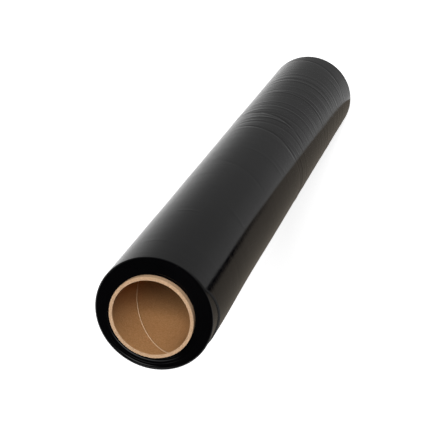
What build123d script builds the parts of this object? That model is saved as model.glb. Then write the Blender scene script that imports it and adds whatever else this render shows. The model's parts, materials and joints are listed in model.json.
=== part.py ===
from build123d import *

import math
import os

# Stretch wrap roll: black film wound on a spiral-wound cardboard tube. Millimetres.
# The roll stands on the lower end of its tube. +Z is the roll's axis, and the origin is the
# centre of that lower end.

# Cardboard tube
BORE_R = 25.5  # goes over the spindle of a hand dispenser
TUBE_WALL = 2.4
TUBE_OVERHANG = 5.5  # how far each end stands out past the outermost turns
RIM_ROUNDING = 0.3  # the cut board is slightly soft at its edges

# Film
FILM_WIDTH = 500.0  # the length of the roll at its outermost turns
FILM_BUILD = 11.1  # all the turns together, from the tube to the outside
END_CONE = 1.6  # how far the innermost turns stand out past the outermost, at each end
FILM_EDGE_ROUNDING = 0.8

# The last turns at the upper end sit back from it in a crescent, where the film wandered
LAST_TURNS = 0.6  # their thickness together
SETBACK = 16.0  # how far back they sit at the middle of the crescent
SETBACK_AZIMUTH = 188.0  # degrees from +X to the middle of the crescent
SETBACK_HALF_ANGLE = 58.0  # degrees from its middle to each of its tips

TUBE_R = BORE_R + TUBE_WALL
FILM_R = TUBE_R + FILM_BUILD
FILM_LOW = TUBE_OVERHANG
FILM_HIGH = FILM_LOW + FILM_WIDTH
TUBE_LENGTH = FILM_WIDTH + 2 * TUBE_OVERHANG


def core_tube():
    """The board tube, a plain ring in section, with all four rim edges eased."""
    bottom_up = (Align.CENTER, Align.CENTER, Align.MIN)
    tube = Cylinder(TUBE_R, TUBE_LENGTH, align=bottom_up)
    tube -= Cylinder(BORE_R, TUBE_LENGTH, align=bottom_up)
    return fillet(tube.edges().filter_by(GeomType.CIRCLE), RIM_ROUNDING)


def film_turns():
    """All the turns as one ring, tight on the tube, with both ends slightly coned outwards."""
    outline = Polyline(
        (TUBE_R, FILM_LOW - END_CONE),
        (FILM_R, FILM_LOW),
        (FILM_R, FILM_HIGH),
        (TUBE_R, FILM_HIGH + END_CONE),
        close=True,
    )
    section = make_face(outline)
    outer_corners = section.vertices().sort_by(Axis.X)[-2:]
    section = fillet(outer_corners, FILM_EDGE_ROUNDING)
    return revolve(Plane.XZ * section, Axis.Z)


def crescent():
    """What is missing from the last turns: the part of them above a plane that tilts down outwards."""
    azimuth = math.radians(SETBACK_AZIMUTH)
    outward = Vector(math.cos(azimuth), math.sin(azimuth), 0)
    along_rim = Vector(-math.sin(azimuth), math.cos(azimuth), 0)
    rise = FILM_R * (1 - math.cos(math.radians(SETBACK_HALF_ANGLE)))
    deepest = outward * FILM_R + Vector(0, 0, FILM_HIGH - SETBACK)
    tilted = Plane(origin=deepest, x_dir=along_rim, z_dir=outward * (SETBACK / rise) + Vector(0, 0, 1))
    reach = 4 * (FILM_R + SETBACK)
    above = tilted * Box(reach, reach, reach, align=(Align.CENTER, Align.CENTER, Align.MIN))
    band_height = 2 * SETBACK
    band = Cylinder(FILM_R + LAST_TURNS, band_height) - Cylinder(FILM_R - LAST_TURNS, band_height)
    return Pos(0, 0, FILM_HIGH) * band & above


def film_roll():
    return film_turns() - crescent()


os.makedirs("parts", exist_ok=True)
for name, shape in (("core_tube", core_tube()), ("film_roll", film_roll())):
    export_step(shape, f"parts/{name}.step")
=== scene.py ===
import json
import math

import bpy
import numpy as np
from mathutils import Matrix, Vector

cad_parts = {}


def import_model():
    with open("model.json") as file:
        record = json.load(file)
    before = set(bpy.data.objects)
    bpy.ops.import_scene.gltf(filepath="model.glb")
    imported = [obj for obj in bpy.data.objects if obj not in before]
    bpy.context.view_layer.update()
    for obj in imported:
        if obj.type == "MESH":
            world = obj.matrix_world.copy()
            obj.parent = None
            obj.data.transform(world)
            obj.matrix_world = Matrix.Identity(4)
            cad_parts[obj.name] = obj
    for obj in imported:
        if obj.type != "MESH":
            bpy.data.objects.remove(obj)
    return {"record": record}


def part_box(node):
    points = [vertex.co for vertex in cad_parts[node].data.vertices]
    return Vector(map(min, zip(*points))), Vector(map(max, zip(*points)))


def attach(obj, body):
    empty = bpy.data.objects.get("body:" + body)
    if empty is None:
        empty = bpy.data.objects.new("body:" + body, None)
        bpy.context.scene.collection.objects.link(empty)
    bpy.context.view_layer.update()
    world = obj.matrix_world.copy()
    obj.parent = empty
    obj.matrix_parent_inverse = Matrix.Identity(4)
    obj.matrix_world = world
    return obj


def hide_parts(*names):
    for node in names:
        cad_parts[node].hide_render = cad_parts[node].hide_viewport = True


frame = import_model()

# Everything is in metres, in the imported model's frame. The roll stands on the lower end of its
# tube, +Z is its axis, and an azimuth is an angle about that axis from +X towards +Y.

MM = 0.001
TAU = 2 * math.pi

# ---------------------------------------------------------------------------------------------
# Sizes, from the frame
# ---------------------------------------------------------------------------------------------

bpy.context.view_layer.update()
film_low, film_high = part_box("film_roll")
tube_low, tube_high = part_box("core_tube")
mounts = {m["name"]: m for m in frame["record"]["mounts"]}

BORE_R = mounts["core_bore"]["dims"]["r_mm"] * MM
TUBE_R = tube_high.x
TUBE_TOP = tube_high.z
FILM_R = film_high.x
END_CONE = 1.6 * MM  # how far the innermost turns stand out past the outermost
FILM_TOP = film_high.z - END_CONE
FILM_BOTTOM = film_low.z + END_CONE
FLOOR_Z = tube_low.z

# The last turns sit back from the upper end in a crescent, and bulge because they are loose
SETBACK = 16 * MM
SETBACK_AZIMUTH = math.radians(188)
SETBACK_HALF_ANGLE = math.radians(58)


# ---------------------------------------------------------------------------------------------
# Small maths
# ---------------------------------------------------------------------------------------------

def turn_difference(a, b):
    """The angle from b to a, between -pi and pi."""
    return (a - b + math.pi) % TAU - math.pi


def smooth_step(x):
    x = np.clip(x, 0, 1)
    return x * x * (3 - 2 * x)


def round_noise(rng, azimuth, along, cells_round, cell_along):
    """Smooth random values from -1 to 1 over azimuth, which closes on itself, and a length."""
    u = (azimuth / TAU % 1.0) * cells_round
    v = along / cell_along
    v = v - v.min()
    grid = rng.uniform(-1, 1, (cells_round, int(v.max()) + 2))
    iu, iv = np.floor(u).astype(int), np.floor(v).astype(int)
    fu, fv = smooth_step(u - iu), smooth_step(v - iv)
    iu0, iu1 = iu % cells_round, (iu + 1) % cells_round
    near = grid[iu0, iv] * (1 - fu) + grid[iu1, iv] * fu
    far = grid[iu0, iv + 1] * (1 - fu) + grid[iu1, iv + 1] * fu
    return near * (1 - fv) + far * fv


def ring_mesh(name, points):
    """A closed ring from points[row, column]: both the rows and the columns join up with their first."""
    rows, columns = points.shape[:2]
    row, column = np.meshgrid(np.arange(rows), np.arange(columns), indexing="ij")
    next_row, next_column = (row + 1) % rows, (column + 1) % columns
    corners = [row * columns + column, next_row * columns + column,
               next_row * columns + next_column, row * columns + next_column]
    faces = np.stack(corners, -1).reshape(-1, 4)
    mesh = bpy.data.meshes.new(name)
    mesh.from_pydata(points.reshape(-1, 3).tolist(), [], faces.tolist())
    mesh.polygons.foreach_set("use_smooth", [True] * len(mesh.polygons))
    mesh.update()
    piece = bpy.data.objects.new(name, mesh)
    bpy.context.scene.collection.objects.link(piece)
    return piece


def point_values(piece, name, values):
    """Stores one number for each point of a piece's mesh, for its material to read."""
    layer = piece.data.attributes.new(name, "FLOAT", "POINT")
    layer.data.foreach_set("value", np.asarray(values, np.float32).ravel())


def polar(radius, azimuth, height):
    radius, azimuth, height = np.broadcast_arrays(radius, azimuth, height)
    return np.stack([radius * np.cos(azimuth), radius * np.sin(azimuth), height], -1)


# ---------------------------------------------------------------------------------------------
# Film
# ---------------------------------------------------------------------------------------------

FILM_COLUMNS = 120
END_ROWS = 44  # across each end face
ROUNDING_ROWS = 6  # over each outer edge
CREST_ROWS = 20  # from the upper edge to the crescent's line
UPPER_ROWS = 48  # from that line down to where the rows lie level
SIDE_ROW = 0.74 * MM
EDGE_R = 0.8 * MM
UPPER_REACH = 60 * MM
FILM_INNER_GAP = 0.05 * MM

# The turns' edges are most uneven on one side of the ends
ROUGH_END_AZIMUTH = math.radians(130)
ROUGH_END_HALF_ANGLE = math.radians(75)

EVEN_RELIEF = 1.2  # shares of the end relief: everywhere, and added on the uneven side
UNEVEN_RELIEF = 2.0

# The last turns bulge beside the crescent, over this much of the roll's upper part
BULGE = 0.7 * MM
BULGE_AZIMUTH = math.radians(195)
BULGE_HALF_ANGLE = math.radians(75)
BULGE_REACH = 130 * MM
BULGE_RUN_IN = 100 * MM
LAST_TURNS = 0.12 * MM  # how far the surface drops where they are missing
CREST_CLEARANCE = 0.4 * MM  # from the outer edge's rounding to the first row below it
CREST_STEP = 0.05 * MM

# The ridges that stand out: height up the roll, middle azimuth and half reach in degrees, how far
# they climb in one radian, width and rise, all lengths in mm
STRONG_RIDGES = [
    (26, 285, 70, -14, 1.3, -0.24),
    (124, 285, 60, 0, 1.0, 0.225),
    (130, 280, 65, -3, 1.0, 0.21),
    (195, 290, 60, -14, 1.5, -0.255),
    (233, 285, 55, -10, 1.4, -0.21),
    (283, 270, 35, -4, 0.9, 0.135),
    (325, 280, 45, -18, 1.0, -0.12),
    (398, 258, 22, -12, 0.8, 0.12),
    (421, 305, 18, 0, 0.8, 0.12),
    (476, 312, 20, -4, 0.8, 0.105),
]


def setback_depth(azimuth):
    """How far below the upper edge the last turns end: nothing outside the crescent."""
    off = np.abs(turn_difference(azimuth, SETBACK_AZIMUTH))
    floor = math.cos(SETBACK_HALF_ANGLE)
    return SETBACK * np.clip((np.cos(off) - floor) / (1 - floor), 0, None)


def end_relief(rng, azimuth, radius):
    """Height of the turns' edges over a smooth end face."""
    relief = 0.030 * MM * round_noise(rng, azimuth, radius, 10, 0.55 * MM)
    relief += 0.035 * MM * round_noise(rng, azimuth, radius, 5, 1.1 * MM)
    relief += 0.060 * MM * round_noise(rng, azimuth, radius, 3, 2.6 * MM)
    off = np.abs(turn_difference(azimuth, ROUGH_END_AZIMUTH))
    uneven = smooth_step(1.4 * (1 - off / ROUGH_END_HALF_ANGLE))
    return relief * (EVEN_RELIEF + UNEVEN_RELIEF * uneven)


def ring_ridges(rng, azimuth, height, count, low, high, width, rise, reach):
    """Ridges and furrows that run round the roll, each over its own stretch, on a slight slant."""
    relief = np.zeros_like(height)
    for _ in range(count):
        centre = rng.uniform(low, high)
        middle = rng.uniform(0, TAU)
        half = math.radians(rng.uniform(*reach))
        thick = rng.uniform(*width)
        tall = rng.uniform(*rise) * rng.choice([-1, 1])
        slant = rng.normal(0, 0.8 * MM)
        off = turn_difference(azimuth, middle)
        fade = smooth_step(1.5 * (1 - np.abs(off) / half))
        across = (height - centre - slant * off) / thick
        near = np.abs(across) < 3
        relief[near] += (tall * fade * np.exp(-across * across))[near]
    return relief


def side_relief(rng, azimuth, height):
    """Height of the outermost turns over a true cylinder."""
    lower = FILM_BOTTOM + 18 * MM
    ridged = FILM_BOTTOM + 235 * MM
    relief = ring_ridges(rng, azimuth, height, 110, lower, ridged,
                         (0.8 * MM, 1.9 * MM), (0.03 * MM, 0.17 * MM), (25, 100))
    relief += ring_ridges(rng, azimuth, height, 90, FILM_BOTTOM, FILM_TOP,
                          (0.7 * MM, 1.5 * MM), (0.012 * MM, 0.055 * MM), (12, 60))
    for level, middle, half, climb, thick, tall in STRONG_RIDGES:
        off = turn_difference(azimuth, math.radians(middle))
        fade = smooth_step(1.6 * (1 - np.abs(off) / math.radians(half)))
        across = (height - level * MM - climb * MM * off) / (thick * MM)
        relief += tall * MM * fade * np.exp(-across * across)
    relief += 0.10 * MM * round_noise(rng, azimuth, height, 6, 45 * MM)
    relief += 0.015 * MM * round_noise(rng, azimuth, height, 24, 9 * MM)
    return relief


def film_bulge(azimuth, height):
    """The last turns stand off where they are loose, by the crescent."""
    off = np.abs(turn_difference(azimuth, BULGE_AZIMUTH))
    round_fade = smooth_step(1.6 * (1 - off / BULGE_HALF_ANGLE))
    along_fade = smooth_step((height - (FILM_TOP - BULGE_REACH)) / BULGE_RUN_IN)
    return BULGE * round_fade * along_fade


def film_roll():
    """One closed skin: upper end face, outer edge, side, lower edge, lower end face, inner wall."""
    rng = np.random.default_rng(7)
    azimuth = np.arange(FILM_COLUMNS) * TAU / FILM_COLUMNS
    inner = TUBE_R + FILM_INNER_GAP

    def end_face(edge_height, sign):
        radius = np.linspace(inner, FILM_R - EDGE_R, END_ROWS)[:, None]
        cone = END_CONE * (FILM_R - radius) / (FILM_R - TUBE_R)
        relief = end_relief(rng, np.broadcast_to(azimuth, (END_ROWS, FILM_COLUMNS)),
                            np.broadcast_to(radius, (END_ROWS, FILM_COLUMNS)))
        relief *= smooth_step((radius - inner) / (0.6 * MM))
        return polar(radius, azimuth, edge_height + sign * (cone + relief))

    def rounding(edge_height, sign):
        angle = np.radians(np.linspace(8, 90, ROUNDING_ROWS))[:, None]
        radius = FILM_R - EDGE_R + EDGE_R * np.sin(angle)
        return polar(radius, azimuth, edge_height - sign * EDGE_R * (1 - np.cos(angle)))

    # the side's rows bend to follow the crescent's line near the upper end
    start = FILM_TOP - EDGE_R
    line = start - CREST_CLEARANCE - setback_depth(azimuth)
    level = FILM_TOP - UPPER_REACH
    above = start + (line - start) * np.linspace(0.04, 1, CREST_ROWS)[:, None]
    below = line + (level - line) * np.linspace(0.0, 1, UPPER_ROWS)[:, None] ** 1.15
    below[0] -= CREST_STEP
    count = int((level - FILM_BOTTOM - EDGE_R) / SIDE_ROW)
    level_rows = np.linspace(level, FILM_BOTTOM + EDGE_R, count)[1:-1, None]
    heights = np.concatenate([above, below, np.broadcast_to(level_rows, (count - 2, FILM_COLUMNS))])
    round_side = np.broadcast_to(azimuth, heights.shape)

    loose = smooth_step(setback_depth(azimuth) / (3 * MM))
    radius = FILM_R + side_relief(rng, round_side, heights)
    bulge = film_bulge(round_side, heights)
    radius[CREST_ROWS:] += bulge[CREST_ROWS:]
    radius[:CREST_ROWS] -= LAST_TURNS * loose
    side = polar(radius, round_side, heights)

    upper = rounding(FILM_TOP, 1)
    lower = rounding(FILM_BOTTOM, -1)
    points = np.concatenate([end_face(FILM_TOP, 1), upper, side, lower[::-1],
                             end_face(FILM_BOTTOM, -1)[::-1]])
    return ring_mesh("film_winding", points)


# ---------------------------------------------------------------------------------------------
# Tube
# ---------------------------------------------------------------------------------------------

SEAM_LEAD = 171 * MM  # the innermost ply climbs this much in one turn
SEAM_AZIMUTH = math.radians(148)  # where its seam meets the upper end
SEAM_GAP = 0.7 * MM
SEAM_GROOVE = 0.28 * MM
SEAM_LIP = 0.20 * MM
PLIES = 6  # a guess: the photo doesn't resolve them
PLY_LINE = 0.10 * MM  # how deep the lines between plies are in the cut rim
PLY_STEP = 0.05 * MM  # how uneven the plies' cut edges are
TUBE_ROUNDING = 0.3 * MM


def tube():
    """One closed skin whose columns follow the innermost ply's spiral, so that its seam is a true edge."""
    rng = np.random.default_rng(21)
    # columns: close together at the seam and even everywhere else, as arcs from the seam
    half_gap = SEAM_GAP / 2 / BORE_R
    at_seam = np.array([-6, -3.5, -2.2, -1.3, -1.0, -0.7, 0.7, 1.0, 1.3, 2.2, 3.5, 6]) * half_gap
    rest = np.linspace(at_seam[-1], TAU + at_seam[0], 210)[1:-1]
    arc = np.concatenate([at_seam, rest])
    columns = len(arc)

    def spiral(height):
        return SEAM_AZIMUTH + (height - TUBE_TOP) / SEAM_LEAD * TAU + arc

    # the groove between the ply's two edges, one of which stands a little proud
    groove = -SEAM_GROOVE * (np.abs(arc) < 0.8 * half_gap)
    lip = SEAM_LIP * np.exp(-((arc - 1.6 * half_gap) / (1.4 * half_gap)) ** 2)
    lip *= arc > 0.8 * half_gap
    seam = groove + lip
    # painted highlight: a paler colour along the proud lip's edge, as if it caught the light
    edge = np.exp(-((arc - 1.1 * half_gap) / (0.9 * half_gap)) ** 2)

    rows, seam_highlights, bore_shade_rows = [], [], []

    def add(radius, height, mark=None):
        azimuth = spiral(np.broadcast_to(height, (columns,)))
        rows.append(polar(radius, azimuth, np.broadcast_to(height, (columns,))))
        seam_highlights.append(np.zeros(columns) if mark is None else mark)
        # 1 on the bore's rows: where the material paints shade on the bore's wall
        bore_shade_rows.append(np.full(columns, float(mark is not None)))

    # the plies in the cut rim
    ply = (TUBE_R - BORE_R) / PLIES
    flat = np.linspace(BORE_R + TUBE_ROUNDING, TUBE_R - TUBE_ROUNDING, 31)
    around = spiral(TUBE_TOP)
    wander = round_noise(rng, around, np.zeros(columns), 9, 1.0)

    def upper_rim():
        for radius in flat[::-1]:
            depth = (radius - BORE_R) / ply + 0.18 * wander
            line = np.exp(-(((depth + 0.5) % 1 - 0.5) / 0.11) ** 2)
            step = PLY_STEP * np.sin(np.floor(depth) * 2.4)
            add(radius, TUBE_TOP + (step - PLY_LINE * line - PLY_STEP))

    inner_heights = np.concatenate([
        np.linspace(TUBE_TOP - TUBE_ROUNDING, TUBE_TOP - 120 * MM, 130),
        np.linspace(TUBE_TOP - 120 * MM, FLOOR_Z + TUBE_ROUNDING, 60)[1:]])

    def edge_arc(centre_r, centre_z, start, end):
        for angle in np.radians(np.linspace(start, end, 5)):
            add(centre_r + TUBE_ROUNDING * math.cos(angle), centre_z + TUBE_ROUNDING * math.sin(angle))

    # bore from the top down, lower rim, outside from the bottom up, then upper rim inwards
    for height in inner_heights:
        add(BORE_R - seam, height, edge)
    edge_arc(BORE_R + TUBE_ROUNDING, FLOOR_Z + TUBE_ROUNDING, 200, 260)
    for radius in flat[::3]:
        add(radius, FLOOR_Z)
    edge_arc(TUBE_R - TUBE_ROUNDING, FLOOR_Z + TUBE_ROUNDING, 280, 350)
    for height in np.linspace(FLOOR_Z + TUBE_ROUNDING, TUBE_TOP - TUBE_ROUNDING, 60):
        add(TUBE_R, height)
    edge_arc(TUBE_R - TUBE_ROUNDING, TUBE_TOP - TUBE_ROUNDING, 10, 80)
    upper_rim()
    edge_arc(BORE_R + TUBE_ROUNDING, TUBE_TOP - TUBE_ROUNDING, 100, 160)

    piece = ring_mesh("tube", np.stack(rows))
    point_values(piece, "seam_painted_highlight", np.stack(seam_highlights))
    point_values(piece, "bore_painted_shade", np.stack(bore_shade_rows))
    return piece


# ---------------------------------------------------------------------------------------------
# Materials
# ---------------------------------------------------------------------------------------------

class Nodes:
    """A new material's node tree, with short calls for the nodes that both finishes use."""

    def __init__(self, name):
        self.material = bpy.data.materials.new(name)
        self.material.use_nodes = True
        self.tree = self.material.node_tree
        self.shader = self.tree.nodes["Principled BSDF"]

    def add(self, kind, **settings):
        node = self.tree.nodes.new(kind)
        for name, value in settings.items():
            setattr(node, name, value)
        return node

    def link(self, output, socket):
        self.tree.links.new(output, socket)

    def position(self):
        return self.add("ShaderNodeTexCoord").outputs["Object"]

    def math(self, operation, *values):
        node = self.add("ShaderNodeMath", operation=operation)
        for socket, value in zip(node.inputs, values):
            if isinstance(value, (int, float)):
                socket.default_value = value
            else:
                self.link(value, socket)
        return node.outputs[0]

    def stretched(self, vector, scale):
        node = self.add("ShaderNodeMapping")
        node.inputs["Scale"].default_value = scale
        self.link(vector, node.inputs["Vector"])
        return node.outputs[0]

    def noise(self, vector, scale=1.0, detail=4.0, roughness=0.55):
        node = self.add("ShaderNodeTexNoise")
        node.inputs["Scale"].default_value = scale
        node.inputs["Detail"].default_value = detail
        node.inputs["Roughness"].default_value = roughness
        self.link(vector, node.inputs["Vector"])
        return node.outputs["Fac"]

    def remap(self, value, low, high, to_low, to_high):
        node = self.add("ShaderNodeMapRange")
        for socket, number in zip(node.inputs[1:5], (low, high, to_low, to_high)):
            socket.default_value = number
        self.link(value, node.inputs["Value"])
        return node.outputs["Result"]

    def blend(self, factor, first, second):
        node = self.add("ShaderNodeMix", data_type="RGBA")
        self.link(factor, node.inputs["Factor"])
        for socket, value in zip((node.inputs[6], node.inputs[7]), (first, second)):
            if isinstance(value, tuple):
                socket.default_value = (*value, 1.0)
            else:
                self.link(value, socket)
        return node.outputs[2]

    def bump(self, height, distance, strength=1.0, under=None):
        node = self.add("ShaderNodeBump")
        node.inputs["Strength"].default_value = strength
        node.inputs["Distance"].default_value = distance
        self.link(height, node.inputs["Height"])
        if under is not None:
            self.link(under, node.inputs["Normal"])
        return node.outputs["Normal"]


def black_film():
    n = Nodes("black_stretch_film")
    place = n.position()
    rounds = n.noise(n.stretched(place, (14, 14, 900)), detail=3.0)
    fine_rounds = n.noise(n.stretched(place, (30, 30, 3200)), detail=2.0)
    patches = n.noise(place, scale=38.0, detail=3.0)
    darkest, palest = (0.0006, 0.0006, 0.0008), (0.0013, 0.0012, 0.0015)
    colour = n.blend(n.remap(patches, 0.35, 0.7, 0.0, 1.0), darkest, palest)
    n.link(colour, n.shader.inputs["Base Color"])
    n.link(n.remap(patches, 0.3, 0.75, 0.07, 0.13), n.shader.inputs["Roughness"])
    n.shader.inputs["IOR"].default_value = 1.5
    coarse = n.bump(rounds, 0.08 * MM)
    n.link(n.bump(fine_rounds, 0.015 * MM, under=coarse), n.shader.inputs["Normal"])
    return n.material


def tube_board():
    n = Nodes("kraft_board")
    place = n.position()
    fibre = n.noise(place, scale=900.0, detail=5.0, roughness=0.65)
    mottle = n.noise(place, scale=90.0, detail=3.0)
    tone = n.blend(n.remap(fibre, 0.3, 0.7, 0.0, 1.0), (0.40, 0.25, 0.145), (0.60, 0.41, 0.265))
    tone = n.blend(n.remap(mottle, 0.35, 0.7, 0.0, 0.35), tone, (0.46, 0.30, 0.175))
    # painted shade: the bore's wall takes a darker, browner kraft than the outside, standing in for the
    # shade deep inside the bore
    wall = n.add("ShaderNodeAttribute", attribute_name="bore_painted_shade").outputs["Fac"]
    inner = n.blend(n.remap(fibre, 0.3, 0.7, 0.0, 1.0), (0.34, 0.165, 0.060), (0.50, 0.27, 0.12))
    tone = n.blend(wall, tone, inner)
    # painted highlight: the seam's lip edge is paled towards a light kraft
    edge = n.add("ShaderNodeAttribute", attribute_name="seam_painted_highlight").outputs["Fac"]
    tone = n.blend(n.math("MULTIPLY", edge, 0.4), tone, (0.80, 0.64, 0.47))
    n.link(tone, n.shader.inputs["Base Color"])
    n.shader.inputs["Roughness"].default_value = 0.85
    n.link(n.bump(fibre, 0.05 * MM), n.shader.inputs["Normal"])
    return n.material


def dress(piece, node, material):
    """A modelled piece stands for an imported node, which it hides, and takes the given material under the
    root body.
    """
    piece.data.materials.append(material)
    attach(piece, "root")
    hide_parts(node)


dress(film_roll(), "film_roll", black_film())
dress(tube(), "core_tube", tube_board())


# ---------------------------------------------------------------------------------------------
# Stage: floor, world and what the film reflects
# ---------------------------------------------------------------------------------------------

FLOOR_HALF = 3.0
FLOOR_GREY = (0.82, 0.82, 0.82, 1)
FLOOR_GLOW = 0.78  # to the camera only, so that the floor is white and keeps the shadow

# What the film sees at each azimuth, in degrees, as a grey
STUDIO_START = 95
STUDIO_GREYS = [
    (95, 1.0), (135, 0.75), (178, 0.42), (195, 0.43), (226, 0.31), (262, 0.25), (300, 0.23), (334, 0.23),
    (350, 0.27), (365, 0.35), (382, 0.48), (406, 0.68), (430, 0.95), (440, 1.1), (454, 1.1),
]
STUDIO_TOP = (0.35, 0.62)  # the rise of a direction over which the studio darkens
STUDIO_OVERHEAD = 0.015
FILL_LIGHT = 0.12

# Glowing cards that only reflections show: a painted reflection of a dimmer, warm floor, and a painted
# shadow strip along its edge
CARD_LIFT = 1 * MM
CARD_REACH = 0.54
DIM_REFLECTION_COLOUR = (0.185, 0.163, 0.137)
DIM_REFLECTION_FADE = (0.36, 0.53)  # the distances from the roll's axis over which the painted reflection card fades out
# the painted shadow: the roll's shadow on the floor, as the film's reflection shows it
SHADOW_REFLECTION_COLOUR = (0.004, 0.004, 0.008)

LENS = 117.68  # mm, on a 36 mm sensor
CAMERA_PLACE = (0, -0.4514, FILM_TOP + 0.7648)
CAMERA_AIM = (0.00585, 0, FILM_TOP - 0.1690)
CAMERA_ROLL = math.radians(-143.66)


def plane_mesh(name, corners):
    mesh = bpy.data.meshes.new(name)
    mesh.from_pydata(corners, [], [tuple(range(len(corners)))])
    piece = bpy.data.objects.new(name, mesh)
    bpy.context.scene.collection.objects.link(piece)
    return piece


def seen_by(tree, *rays):
    """1 for the named kinds of ray, and 0 for the rest."""
    path = tree.nodes.new("ShaderNodeLightPath")
    total = path.outputs[rays[0]]
    for ray in rays[1:]:
        node = tree.nodes.new("ShaderNodeMath")
        node.operation = "MAXIMUM"
        tree.links.new(total, node.inputs[0])
        tree.links.new(path.outputs[ray], node.inputs[1])
        total = node.outputs[0]
    return total


def floor():
    square = [(-FLOOR_HALF, -FLOOR_HALF), (FLOOR_HALF, -FLOOR_HALF),
              (FLOOR_HALF, FLOOR_HALF), (-FLOOR_HALF, FLOOR_HALF)]
    piece = plane_mesh("floor", [(x, y, FLOOR_Z) for x, y in square])
    material = bpy.data.materials.new("floor")
    material.use_nodes = True
    tree = material.node_tree
    shader = tree.nodes["Principled BSDF"]
    shader.inputs["Base Color"].default_value = FLOOR_GREY
    shader.inputs["Roughness"].default_value = 0.9
    shader.inputs["Specular IOR Level"].default_value = 0.0
    shader.inputs["Emission Color"].default_value = (1, 1, 1, 1)
    lift = tree.nodes.new("ShaderNodeMath")
    lift.operation = "MULTIPLY"
    lift.inputs[1].default_value = FLOOR_GLOW
    tree.links.new(seen_by(tree, "Is Camera Ray", "Is Transmission Ray"), lift.inputs[0])
    tree.links.new(lift.outputs[0], shader.inputs["Emission Strength"])
    piece.data.materials.append(material)
    piece.visible_glossy = False


def world():
    """White to the camera. The film sees a studio: white on one side, dimmer round the rest, dark above."""
    scene = bpy.context.scene
    scene.world = bpy.data.worlds.new("studio")
    scene.world.use_nodes = True
    tree = scene.world.node_tree
    tree.nodes.clear()

    def add(kind, **settings):
        node = tree.nodes.new(kind)
        for name, value in settings.items():
            setattr(node, name, value)
        return node

    def math_node(operation, first, second):
        node = add("ShaderNodeMath", operation=operation)
        for socket, value in zip(node.inputs, (first, second)):
            if isinstance(value, (int, float)):
                socket.default_value = value
            else:
                tree.links.new(value, socket)
        return node.outputs[0]

    direction = add("ShaderNodeSeparateXYZ")
    tree.links.new(add("ShaderNodeTexCoord").outputs["Generated"], direction.inputs[0])
    east, north, up = direction.outputs
    # the direction's azimuth as 0 to 1, starting and ending at STUDIO_START
    start = math.radians(STUDIO_START)
    turned_east = math_node("ADD", math_node("MULTIPLY", east, math.cos(start)),
                            math_node("MULTIPLY", north, math.sin(start)))
    turned_north = math_node("SUBTRACT", math_node("MULTIPLY", north, math.cos(start)),
                             math_node("MULTIPLY", east, math.sin(start)))
    angle = math_node("ARCTAN2", turned_north, turned_east)
    share = math_node("FRACT", math_node("DIVIDE", angle, TAU), 0)
    ramp = add("ShaderNodeValToRGB")
    stops = ramp.color_ramp.elements
    while len(stops) > 1:
        stops.remove(stops[-1])
    for number, (azimuth, grey) in enumerate(STUDIO_GREYS):
        place = (azimuth - STUDIO_START) / 360
        stop = stops[0] if number == 0 else stops.new(place)
        stop.position = place
        stop.color = (grey, grey, grey, 1)
    tree.links.new(share, ramp.inputs[0])
    dim = add("ShaderNodeMapRange", interpolation_type="SMOOTHSTEP")
    for socket, number in zip(dim.inputs[1:5], (STUDIO_TOP[0], STUDIO_TOP[1], 1.0, STUDIO_OVERHEAD)):
        socket.default_value = number
    tree.links.new(up, dim.inputs["Value"])
    reflected = add("ShaderNodeBackground")
    tree.links.new(ramp.outputs[0], reflected.inputs["Color"])
    tree.links.new(dim.outputs["Result"], reflected.inputs["Strength"])

    white = add("ShaderNodeBackground")
    fill = add("ShaderNodeBackground")
    fill.inputs["Strength"].default_value = FILL_LIGHT
    camera_mix = add("ShaderNodeMixShader")
    glossy_mix = add("ShaderNodeMixShader")
    tree.links.new(seen_by(tree, "Is Glossy Ray"), glossy_mix.inputs[0])
    tree.links.new(fill.outputs[0], glossy_mix.inputs[1])
    tree.links.new(reflected.outputs[0], glossy_mix.inputs[2])
    tree.links.new(seen_by(tree, "Is Camera Ray", "Is Transmission Ray"), camera_mix.inputs[0])
    tree.links.new(glossy_mix.outputs[0], camera_mix.inputs[1])
    tree.links.new(white.outputs[0], camera_mix.inputs[2])
    tree.links.new(camera_mix.outputs[0], add("ShaderNodeOutputWorld").inputs[0])


def card(name, corners, colour, fade=None):
    """A glowing card that only reflections show, lying just over the floor: a painted reflection."""
    piece = plane_mesh(name, corners)
    material = bpy.data.materials.new(name)
    material.use_nodes = True
    tree = material.node_tree
    tree.nodes.clear()
    light = tree.nodes.new("ShaderNodeEmission")
    light.inputs["Color"].default_value = (*colour, 1)
    out = tree.nodes.new("ShaderNodeOutputMaterial")
    if fade is None:
        tree.links.new(light.outputs[0], out.inputs["Surface"])
    else:
        place = tree.nodes.new("ShaderNodeTexCoord")
        length = tree.nodes.new("ShaderNodeVectorMath")
        length.operation = "LENGTH"
        tree.links.new(place.outputs["Object"], length.inputs[0])
        away = tree.nodes.new("ShaderNodeMapRange")
        away.interpolation_type = "SMOOTHSTEP"
        away.inputs["From Min"].default_value = fade[0]
        away.inputs["From Max"].default_value = fade[1]
        tree.links.new(length.outputs["Value"], away.inputs["Value"])
        clear = tree.nodes.new("ShaderNodeBsdfTransparent")
        mix = tree.nodes.new("ShaderNodeMixShader")
        tree.links.new(away.outputs["Result"], mix.inputs[0])
        tree.links.new(light.outputs[0], mix.inputs[1])
        tree.links.new(clear.outputs[0], mix.inputs[2])
        tree.links.new(mix.outputs[0], out.inputs["Surface"])
    piece.data.materials.append(material)
    for ray in ("camera", "diffuse", "transmission", "volume_scatter", "shadow"):
        setattr(piece, f"visible_{ray}", False)


def on_floor(radius, azimuth):
    azimuth = math.radians(azimuth)
    return (radius * math.cos(azimuth), radius * math.sin(azimuth))


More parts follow.
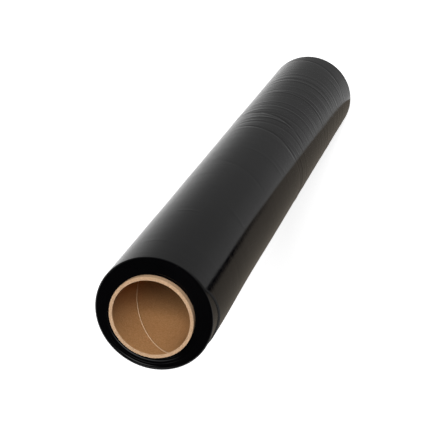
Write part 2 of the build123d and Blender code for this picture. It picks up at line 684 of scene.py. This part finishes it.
def cards():
    """A painted reflection of a dim, warm floor side, from an edge that runs out from the roll's foot, and
    a painted shadow as a dark strip along that edge.
    """
    edge = [(-0.030, -0.019), (-0.078, -0.040), (-0.109, -0.064), (-0.155, -0.118), (-0.226, -0.211),
            (-0.330, -0.318)]
    behind = [on_floor(CARD_REACH, azimuth) for azimuth in range(100, 221, 10)]
    dim = [(0, 0), (0, CARD_REACH)] + behind + edge[::-1]
    # painted reflection: a glowing warm grey card where the floor would lie dimmer
    card("painted_reflection_card", [(x, y, FLOOR_Z + CARD_LIFT) for x, y in dim], DIM_REFLECTION_COLOUR, fade=DIM_REFLECTION_FADE)
    dark = edge[3:] + [(-0.340, -0.200), (-0.265, -0.153), (-0.187, -0.114)]
    # painted shadow: a near-black strip along the dim card's edge
    card("painted_shadow_card", [(x, y, FLOOR_Z + 1.5 * CARD_LIFT) for x, y in dark], SHADOW_REFLECTION_COLOUR)


def lamp(name, azimuth, elevation, size, power, distance=1.6):
    """A soft round lamp aimed at the upper end, which neither the camera nor a reflection shows."""
    data = bpy.data.lights.new(name, "AREA")
    data.shape = "DISK"
    data.size = size
    data.energy = power
    piece = bpy.data.objects.new(name, data)
    a, e = math.radians(azimuth), math.radians(elevation)
    away = Vector((math.cos(a) * math.cos(e), math.sin(a) * math.cos(e), math.sin(e)))
    piece.location = Vector((0, 0, TUBE_TOP)) + away * distance
    piece.rotation_mode = "QUATERNION"
    piece.rotation_quaternion = away.to_track_quat("Z", "Y")
    piece.visible_camera = False
    piece.visible_glossy = False
    bpy.context.scene.collection.objects.link(piece)


def camera():
    """Looks down on the upper end, rolled as the roll was held before the lens."""
    data = bpy.data.cameras.new("camera")
    data.sensor_width = 36.0
    data.lens = LENS
    data.clip_start, data.clip_end = 0.05, 50
    piece = bpy.data.objects.new("camera", data)
    bpy.context.scene.collection.objects.link(piece)
    bpy.context.scene.camera = piece
    piece.location = CAMERA_PLACE
    back = piece.location - Vector(CAMERA_AIM)
    piece.rotation_mode = "QUATERNION"
    roll = Matrix.Rotation(CAMERA_ROLL, 3, back.normalized())
    piece.rotation_quaternion = (roll @ back.to_track_quat("Z", "Y").to_matrix()).to_quaternion()


floor()
world()
cards()
lamp("key", azimuth=292, elevation=56, size=0.7, power=31)
lamp("overhead", azimuth=60, elevation=78, size=1.2, power=2)
camera()

scene = bpy.context.scene
scene.view_settings.view_transform = "Standard"
